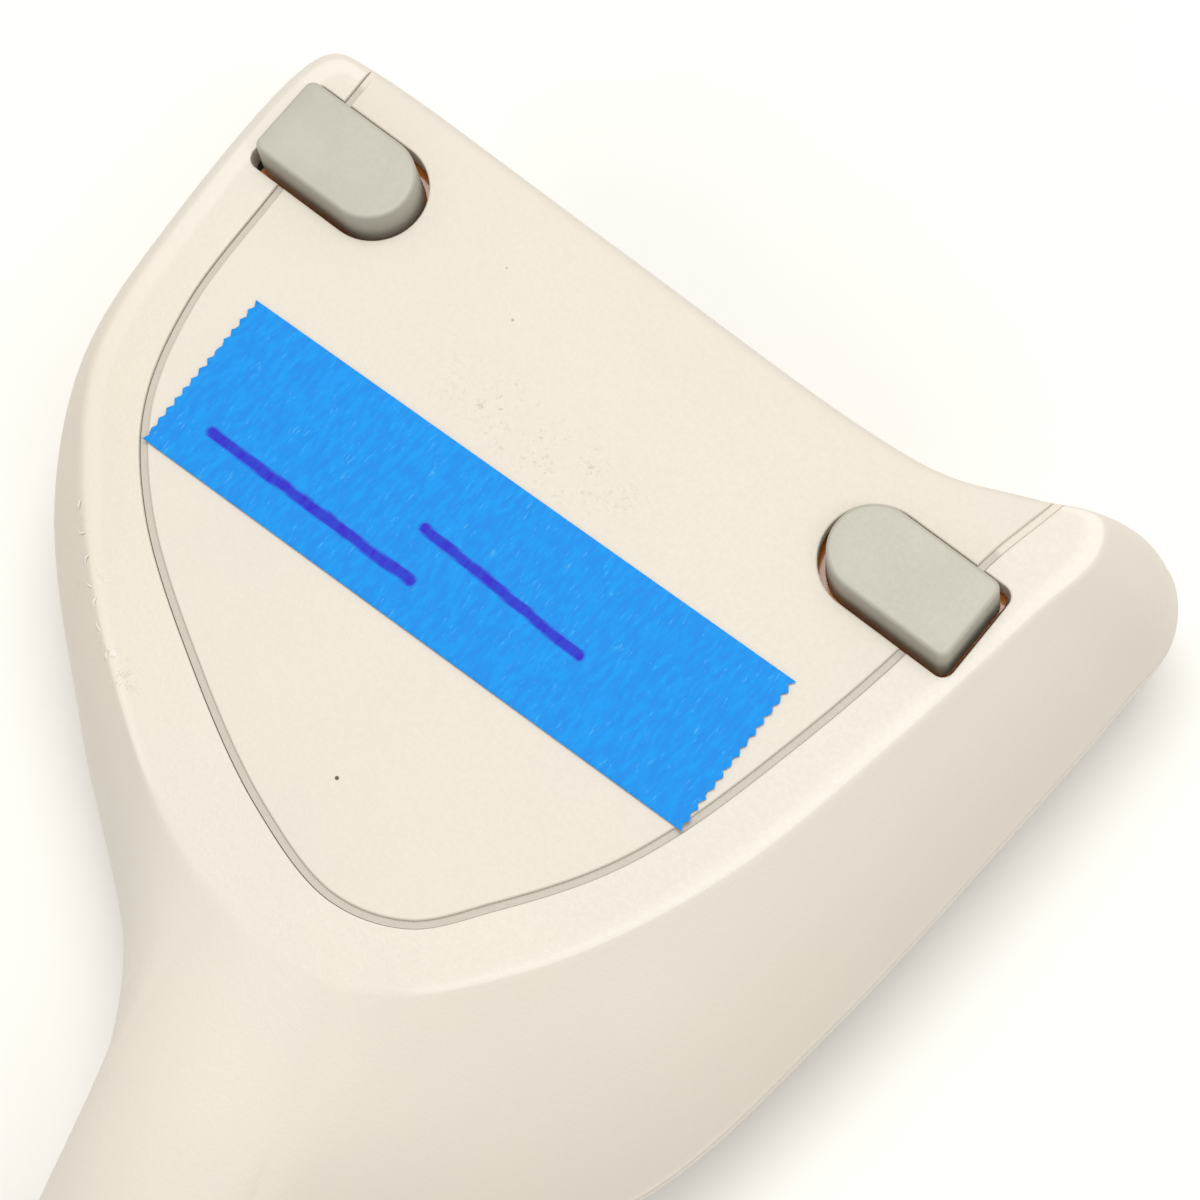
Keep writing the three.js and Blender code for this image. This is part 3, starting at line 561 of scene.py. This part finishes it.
# ---- scuffed crease --------------------------------------------------------------------------
def edge_scuffs():
    """Curled slivers of plastic where the left crease has been knocked."""
    crease, rim = (spline([row[c] for row in STATIONS[16:21]], 200) for c in (0, 1))
    knocks = [(0.57, 1.1, 0.5, 1.0), (0.617, 1.5, -0.8, 1.3), (0.664, 1.2, 1.1, 1.6), (0.705, 1.9, -0.6, 0.9),
              (0.739, 1.4, 0.9, 1.5), (0.779, 2.3, -0.3, 0.8), (0.82, 1.7, 0.2, 1.2), (0.86, 2.0, -1.0, 1.4)]
    points, faces = [], []
    for place, length, lean, curl in knocks:
        k = int(place * 200)
        along = crease[k + 1] - crease[k - 1]
        along /= np.linalg.norm(along)
        out = (rim[k] - crease[k]) / np.linalg.norm(rim[k] - crease[k])
        turn = np.cos(lean) * along + np.sin(lean) * out
        side = np.array([-turn[1], turn[0]])
        start = len(points)
        for i in range(9):
            t = i / 8
            bend = side * curl * 0.5 * (t - 0.5) ** 2 * length
            middle = crease[k] + out * 0.3 + turn * length * (t - 0.5) + bend
            past = max(float(np.dot(middle - crease[k], out)), 0.0)
            surface = PAD_Z - past * 0.95
            width = 0.03 + 0.17 * math.sin(math.pi * t)
            for j in range(6):
                a = 2 * math.pi * j / 6
                spot = middle + side * width * math.cos(a)
                height = surface + 0.02 + 0.6 * width * math.sin(a)
                points.append((spot[0], spot[1], min(height, PAD_Z + 0.14)))
        for i in range(8):
            for j in range(6):
                a, b = start + i * 6 + j, start + i * 6 + (j + 1) % 6
                faces.append((a, b, b + 6, a + 6))
        faces.append(tuple(range(start, start + 6)))
        faces.append(tuple(range(start + 53, start + 47, -1)))
    obj = orient(mesh_object("edge_scuffs", points, faces))
    obj.data.polygons.foreach_set("use_smooth", [True] * len(obj.data.polygons))
    return obj


# ---- materials -----------------------------------------------------------------------------
class Look:
    """One Principled material with helpers for its procedural nodes."""

    def __init__(self, name, colour, roughness, **sockets):
        self.material = bpy.data.materials.new(name)
        self.material.use_nodes = True
        self.tree = self.material.node_tree
        self.shader = self.tree.nodes["Principled BSDF"]
        self.shader.inputs["Base Color"].default_value = (*colour, 1)
        self.shader.inputs["Roughness"].default_value = roughness
        for key, value in sockets.items():
            self.shader.inputs[key.replace("_", " ")].default_value = value
        self.place = self.tree.nodes.new("ShaderNodeTexCoord").outputs["Object"]
        self.normal = None

    def link(self, a, b):
        self.tree.links.new(a, b)

    def axes(self):
        """The three coordinates of the row's frame, in metres."""
        node = self.tree.nodes.new("ShaderNodeSeparateXYZ")
        self.link(self.place, node.inputs[0])
        return node.outputs[0], node.outputs[1], node.outputs[2]

    def stretched(self, scale, turn=0.0):
        node = self.tree.nodes.new("ShaderNodeMapping")
        node.inputs["Scale"].default_value = scale
        node.inputs["Rotation"].default_value = (0, 0, turn)
        self.link(self.place, node.inputs["Vector"])
        return node.outputs["Vector"]

    def noise(self, scale, detail=3.0, rough=0.5, vector=None):
        node = self.tree.nodes.new("ShaderNodeTexNoise")
        node.inputs["Scale"].default_value = scale
        node.inputs["Detail"].default_value = detail
        node.inputs["Roughness"].default_value = rough
        self.link(vector or self.place, node.inputs["Vector"])
        return node.outputs["Fac"]

    def cells(self, scale, vector=None, feature="F1"):
        node = self.tree.nodes.new("ShaderNodeTexVoronoi")
        node.feature = feature
        node.inputs["Scale"].default_value = scale
        self.link(vector or self.place, node.inputs["Vector"])
        return node.outputs["Distance"]

    def ramp(self, value, low, high, to_low=0.0, to_high=1.0):
        node = self.tree.nodes.new("ShaderNodeMapRange")
        node.interpolation_type = "SMOOTHSTEP"
        for key, number in (("From Min", low), ("From Max", high), ("To Min", to_low), ("To Max", to_high)):
            node.inputs[key].default_value = number
        self.link(value, node.inputs["Value"])
        return node.outputs["Result"]

    def math(self, how, a, b):
        node = self.tree.nodes.new("ShaderNodeMath")
        node.operation = how
        for i, value in enumerate((a, b)):
            if isinstance(value, (int, float)):
                node.inputs[i].default_value = value
            else:
                self.link(value, node.inputs[i])
        return node.outputs[0]

    def near(self, centre, inner, outer, squeeze=(1, 1, 1), turn=0.0):
        """1 inside a spot of the row's frame (mm, plug coordinates), falling to 0 outside it."""
        shift = self.tree.nodes.new("ShaderNodeVectorMath")
        shift.operation = "SUBTRACT"
        self.link(self.place, shift.inputs[0])
        shift.inputs[1].default_value = to_row([centre])[0]
        spin = self.tree.nodes.new("ShaderNodeMapping")
        spin.inputs["Rotation"].default_value = (0, 0, turn)
        spin.inputs["Scale"].default_value = squeeze
        self.link(shift.outputs[0], spin.inputs["Vector"])
        length = self.tree.nodes.new("ShaderNodeVectorMath")
        length.operation = "LENGTH"
        self.link(spin.outputs[0], length.inputs[0])
        return self.ramp(length.outputs["Value"], inner / 1000, outer / 1000, 1.0, 0.0)

    def mix(self, factor, a, b):
        node = self.tree.nodes.new("ShaderNodeMix")
        node.data_type = "RGBA"
        self.link(factor, node.inputs["Factor"])
        for key, value in ((6, a), (7, b)):
            if isinstance(value, tuple):
                node.inputs[key].default_value = (*value, 1)
            else:
                self.link(value, node.inputs[key])
        return node.outputs[2]

    def colour(self, value):
        self.link(value, self.shader.inputs["Base Color"])

    def roughness(self, value):
        self.link(value, self.shader.inputs["Roughness"])

    def bump(self, height, distance, strength=1.0):
        node = self.tree.nodes.new("ShaderNodeBump")
        node.inputs["Distance"].default_value = distance
        node.inputs["Strength"].default_value = strength
        self.link(height, node.inputs["Height"])
        if self.normal:
            self.link(self.normal, node.inputs["Normal"])
        self.normal = node.outputs["Normal"]
        self.link(self.normal, self.shader.inputs["Normal"])


def metres(height):
    """A height of the plug, in mm, in the row's metres."""
    return height / 1000


def row_y(y):
    """A y of the plug, in mm, in the row's metres."""
    return (y - ORIGIN[1]) / 1000


def shade(colour, factor):
    return tuple(c * factor for c in colour)


# Dirt on the panel: x, y, radius and colour.
SPECKS = [
    (6.6, -64.7, 0.35, (0.10, 0.06, 0.04)),
    (-15.6, -3.1, 0.28, (0.50, 0.44, 0.34)),
    (-21.0, 2.1, 0.22, (0.55, 0.48, 0.38)),
    (25.2, -75.0, 0.2, (0.3, 0.2, 0.1)),
]


def housing_look(name, colour, grain, roughness, chips_and_painted_light=False, dirt_and_groove_shade=False):
    """Moulded shell plastic. The panel's option adds dirt and a painted shade on the groove's floor; the
    shell's option adds knocked edges, a painted highlight along the crease and groove lips, and a painted
    warm reflection on the left wall.
    """
    look = Look(name, colour, roughness)
    cloud = look.noise(28, 4, 0.55)
    warm = (colour[0], colour[1] * 0.995, colour[2] * 0.975)
    base = look.mix(look.ramp(cloud, 0.3, 0.7), shade(colour, 0.975), warm)
    speck = look.ramp(look.cells(150), 0.028, 0.045, 1.0, 0.0)
    rare = look.ramp(look.noise(60, 2), 0.63, 0.68)
    base = look.mix(look.math("MULTIPLY", speck, rare), base, (0.16, 0.12, 0.08))
    if dirt_and_groove_shade:
        spot = look.near((-3.0, -14.2, 38), 1.0, 9.0, (0.36, 1.15, 1), 0.03)
        grains = look.ramp(look.noise(1300, 4, 0.75), 0.54, 0.66)
        film = look.ramp(look.noise(160, 4, 0.6), 0.38, 0.60)
        stain = look.math("MULTIPLY", spot, look.math("MULTIPLY", grains, film))
        base = look.mix(look.math("MULTIPLY", stain, 0.5), base, (0.36, 0.25, 0.16))
        for x, y, size, dirt in SPECKS:
            base = look.mix(look.near((x, y, PAD_Z), size * 0.6, size), base, dirt)
        # Painted shade: the groove's floor, just below the top, is darkened as if in shadow.
        _, y, z = look.axes()
        floor_z = PAD_Z - GROOVE_DEPTH
        above = look.ramp(z, metres(floor_z - 0.10), metres(floor_z - 0.05))
        below = look.ramp(z, metres(floor_z + 0.07), metres(floor_z + 0.13), 1.0, 0.0)
        behind_lip = look.ramp(y, row_y(LIP_BACK - 0.9), row_y(LIP_BACK + 0.1), 1.0, 0.0)
        painted_groove_shade = look.math("MULTIPLY", look.math("MULTIPLY", above, below), behind_lip)
        base = look.mix(painted_groove_shade, base, shade((colour[0], colour[1] * 1.01, colour[2]), 0.74))
    if chips_and_painted_light:
        for x, y, size in ((-43.0, -60.6, 5.0), (-36.5, -65.6, 5.5), (-27.0, -71.8, 6.0)):
            zone = look.near((x, y, 37), 1.0, size, (0.7, 1.6, 0.6), -0.62)
            flake = look.ramp(look.noise(420, 5, 0.68), 0.57, 0.60)
            chip = look.math("MULTIPLY", zone, flake)
            base = look.mix(look.math("MULTIPLY", chip, 0.75), base, (0.86, 0.83, 0.77))
            look.bump(chip, 0.00012, 0.6)
        # Painted highlight: a lighter band in the rounding just under the top's height, along the crease and
        # the groove's lips, stopping short of the neck.
        _, y, z = look.axes()
        above = look.ramp(z, metres(PAD_Z - 0.16), metres(PAD_Z - 0.10))
        below = look.ramp(z, metres(PAD_Z - 0.04), metres(PAD_Z - 0.005), 1.0, 0.0)
        short_of_neck = look.ramp(y, row_y(-82.0), row_y(-77.5))
        lip = look.math("MULTIPLY", look.math("MULTIPLY", above, below), short_of_neck)
        base = look.mix(look.math("MULTIPLY", lip, 0.4), base, (0.90, 0.87, 0.81))
        # Painted reflected light: the left side's wall is tinted warmer and yellower, as if lit by warm light
        # bounced from beside it.
        painted_warm_bounce = look.near((-62, -62, 20), 12.0, 62.0)
        base = look.mix(look.math("MULTIPLY", painted_warm_bounce, 0.7), base, (0.735, 0.665, 0.545))
    look.colour(base)
    look.bump(look.noise(grain, 2.0, 0.55), 0.00005, 0.6)
    look.bump(look.noise(grain * 0.4, 2.0, 0.5), 0.00007, 0.4)
    sheen = look.ramp(look.noise(grain * 0.6, 2), 0.3, 0.7, roughness - 0.05, roughness + 0.06)
    look.roughness(sheen)
    return look.material


def plain_look(name, colour, roughness, grain=1800, depth=0.00003, contrast=0.06, **sockets):
    """Moulded, turned or painted stock: faint tone variation and a fine surface."""
    look = Look(name, colour, roughness, **sockets)
    tone = look.ramp(look.noise(90, 3), 0.3, 0.7)
    look.colour(look.mix(tone, shade(colour, 1 - contrast), shade(colour, 1 + contrast / 2)))
    look.roughness(look.ramp(look.noise(grain, 2), 0.3, 0.7, roughness * 0.88, min(roughness * 1.12, 1)))
    look.bump(look.noise(grain, 3), depth, 0.5)
    return look.material


def brushed_look(name, colour, roughness, along):
    """Metal with fine lines along one axis."""
    look = Look(name, colour, roughness, Metallic=1.0)
    scale = [900.0, 900.0, 900.0]
    scale[along] = 40.0
    lines = look.noise(1.0, 3, 0.6, look.stretched(tuple(scale)))
    look.colour(look.mix(look.ramp(lines, 0.3, 0.7), shade(colour, 0.85), colour))
    look.roughness(look.ramp(lines, 0.3, 0.7, roughness * 0.8, roughness * 1.3))
    look.bump(lines, 0.00002, 0.5)
    return look.material


def tape_look():
    blue, pale, deep = (0.010, 0.315, 0.86), (0.10, 0.47, 0.93), (0.006, 0.25, 0.78)
    look = Look("creped_tape", blue, 0.62, Specular_IOR_Level=0.2)
    ridges = look.noise(1.0, 4, 0.6, look.stretched((1300, 420, 400), TAPE["turn"]))
    fibre = look.noise(1.0, 3, 0.7, look.stretched((2600, 500, 400), TAPE["turn"] + 0.5))
    base = look.mix(look.ramp(ridges, 0.35, 0.68), deep, blue)
    base = look.mix(look.math("MULTIPLY", look.ramp(fibre, 0.60, 0.74), 0.6), base, pale)
    pen = look.tree.nodes.new("ShaderNodeAttribute")
    pen.attribute_name = "ink"
    dry = look.ramp(ridges, 0.30, 0.62, 1.0, 0.86)
    mark = look.math("MULTIPLY", pen.outputs["Fac"], dry)
    look.colour(look.mix(mark, base, (0.028, 0.010, 0.55)))
    look.roughness(look.ramp(ridges, 0.3, 0.7, 0.55, 0.72))
    look.bump(ridges, 0.00012, 0.6)
    look.bump(fibre, 0.00005, 0.4)
    return look.material


HOUSING_COLOUR = (0.755, 0.710, 0.635)
PANEL_COLOUR = (0.750, 0.702, 0.625)
LOOKS = {
    "housing_plastic": housing_look("housing_plastic", HOUSING_COLOUR, 2600, 0.42, chips_and_painted_light=True),
    "panel_plastic": housing_look("panel_plastic", PANEL_COLOUR, 3000, 0.50, dirt_and_groove_shade=True),
    "button_plastic": plain_look("button_plastic", (0.475, 0.462, 0.395), 0.36, 2200, 0.00002, 0.04),
    "amber_insulator": plain_look("amber_insulator", (0.72, 0.20, 0.010), 0.16, 600, 0.00001, 0.2,
                                  Coat_Weight=0.6),
    "dark_plastic": plain_look("dark_plastic", (0.028, 0.029, 0.031), 0.48, 1500, 0.00005, 0.1),
    "steel": brushed_look("steel", (0.56, 0.56, 0.57), 0.30, 1),
    "brass": brushed_look("brass", (0.80, 0.60, 0.27), 0.24, 1),
    "rubber": plain_look("rubber", (0.022, 0.022, 0.024), 0.78, 1200, 0.00006, 0.15),
    "board": plain_look("board", (0.016, 0.17, 0.06), 0.36, 700, 0.00002, 0.25),
    "tube": plain_look("tube", (0.60, 0.66, 0.68), 0.22, 500, 0.00001, 0.05),
    "red_lead": plain_look("red_lead", (0.42, 0.028, 0.018), 0.36, 900, 0.00002, 0.1),
    "grey_lead": plain_look("grey_lead", (0.17, 0.17, 0.18), 0.46, 900, 0.00002, 0.1),
    "tape": tape_look(),
}

SLOT_OF = {s["node"]: s["material_slot"] for s in frame["record"]["subparts"]}
for node, obj in frame["nodes"].items():
    obj.data.materials.clear()
    obj.data.materials.append(LOOKS[SLOT_OF[node]])
    obj.data.polygons.foreach_set("use_smooth", [True] * len(obj.data.polygons))
    obj.data.set_sharp_from_angle(angle=math.radians(34))

# ---- the fine pieces -----------------------------------------------------------------------
finish_piece(upper_shell(), "upper_shell", LOOKS["housing_plastic"])
finish_piece(lower_shell(), "lower_shell", LOOKS["housing_plastic"])
finish_piece(top_panel(), "top_panel", LOOKS["panel_plastic"])
finish_piece(paper_tape(), "tape_label", LOOKS["tape"], sharp=70)
for name, sign in (("left", -1), ("right", 1)):
    button = release_button(sign)
    button.name = button.data.name = f"release_button_{name}_fine"
    finish_piece(button, f"release_button_{name}", LOOKS["button_plastic"],
                 f"button_{name}", 50)

scuffs = edge_scuffs()
scuffs.data.materials.append(plain_look("torn_plastic", (0.84, 0.80, 0.73), 0.4, 1500))
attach(scuffs, "housing")

# ---- each spring gets a mesh of its own ----------------------------------------------------
for name in ("left", "right"):
    spring = frame["nodes"][f"button_spring_{name}"]
    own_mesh(spring)

# ---- floor, light, camera ------------------------------------------------------------------
FLOOR = 900           # half the floor's side, mm
corners = [(-FLOOR, -FLOOR, 0), (FLOOR, -FLOOR, 0), (FLOOR, FLOOR, 0), (-FLOOR, FLOOR, 0)]
floor = mesh_object("floor", corners, [(0, 1, 2, 3)])
paper = Look("floor_paper", (0.93, 0.92, 0.90), 0.75)
paper.colour(paper.mix(paper.ramp(paper.noise(9, 3), 0.3, 0.7), (0.92, 0.915, 0.90), (0.95, 0.94, 0.915)))
paper.bump(paper.noise(700, 3), 0.00004, 0.3)
floor.data.materials.append(paper.material)

bpy.context.scene.view_settings.view_transform = "Standard"
world = bpy.data.worlds.new("studio")
bpy.context.scene.world = world
world.use_nodes = True
world.node_tree.nodes["Background"].inputs["Color"].default_value = (1.0, 0.985, 0.955, 1)
world.node_tree.nodes["Background"].inputs["Strength"].default_value = 0.56


def soft_light(name, position, target, size, power, colour=(1, 0.98, 0.95)):
    data = bpy.data.lights.new(name, "AREA")
    data.shape = "RECTANGLE"
    data.size, data.size_y = size
    data.energy = power
    data.color = colour
    obj = bpy.data.objects.new(name, data)
    bpy.context.scene.collection.objects.link(obj)
    obj.location = position
    obj.rotation_euler = (Vector(target) - Vector(position)).to_track_quat("-Z", "Y").to_euler()


soft_light("key", (-0.22, 0.42, 1.50), (0.0, 0.0, 0.03), (1.10, 0.90), 13.0)
soft_light("strip", (0.62, 0.06, 1.16), (0.02, 0.0, 0.03), (0.10, 0.70), 2.4, (1, 0.98, 0.95))

EYE = Vector((0.11846, -0.03532, 0.4354))
LOOK_AT = Vector((0.01405, 0.03568, 0.038))
ROLL = math.radians(17.1)
back = (EYE - LOOK_AT).normalized()
azimuth = math.atan2(back.x, -back.y)
right = Vector((math.cos(azimuth), math.sin(azimuth), 0))
up = back.cross(right)
right, up = (right * math.cos(ROLL) - up * math.sin(ROLL), right * math.sin(ROLL) + up * math.cos(ROLL))
camera_data = bpy.data.cameras.new("camera")
camera_data.sensor_width = 36
camera_data.lens = 97.56
camera = bpy.data.objects.new("camera", camera_data)
bpy.context.scene.collection.objects.link(camera)
camera.matrix_world = Matrix.Translation(EYE) @ Matrix((right, up, back)).transposed().to_4x4()
bpy.context.scene.camera = camera
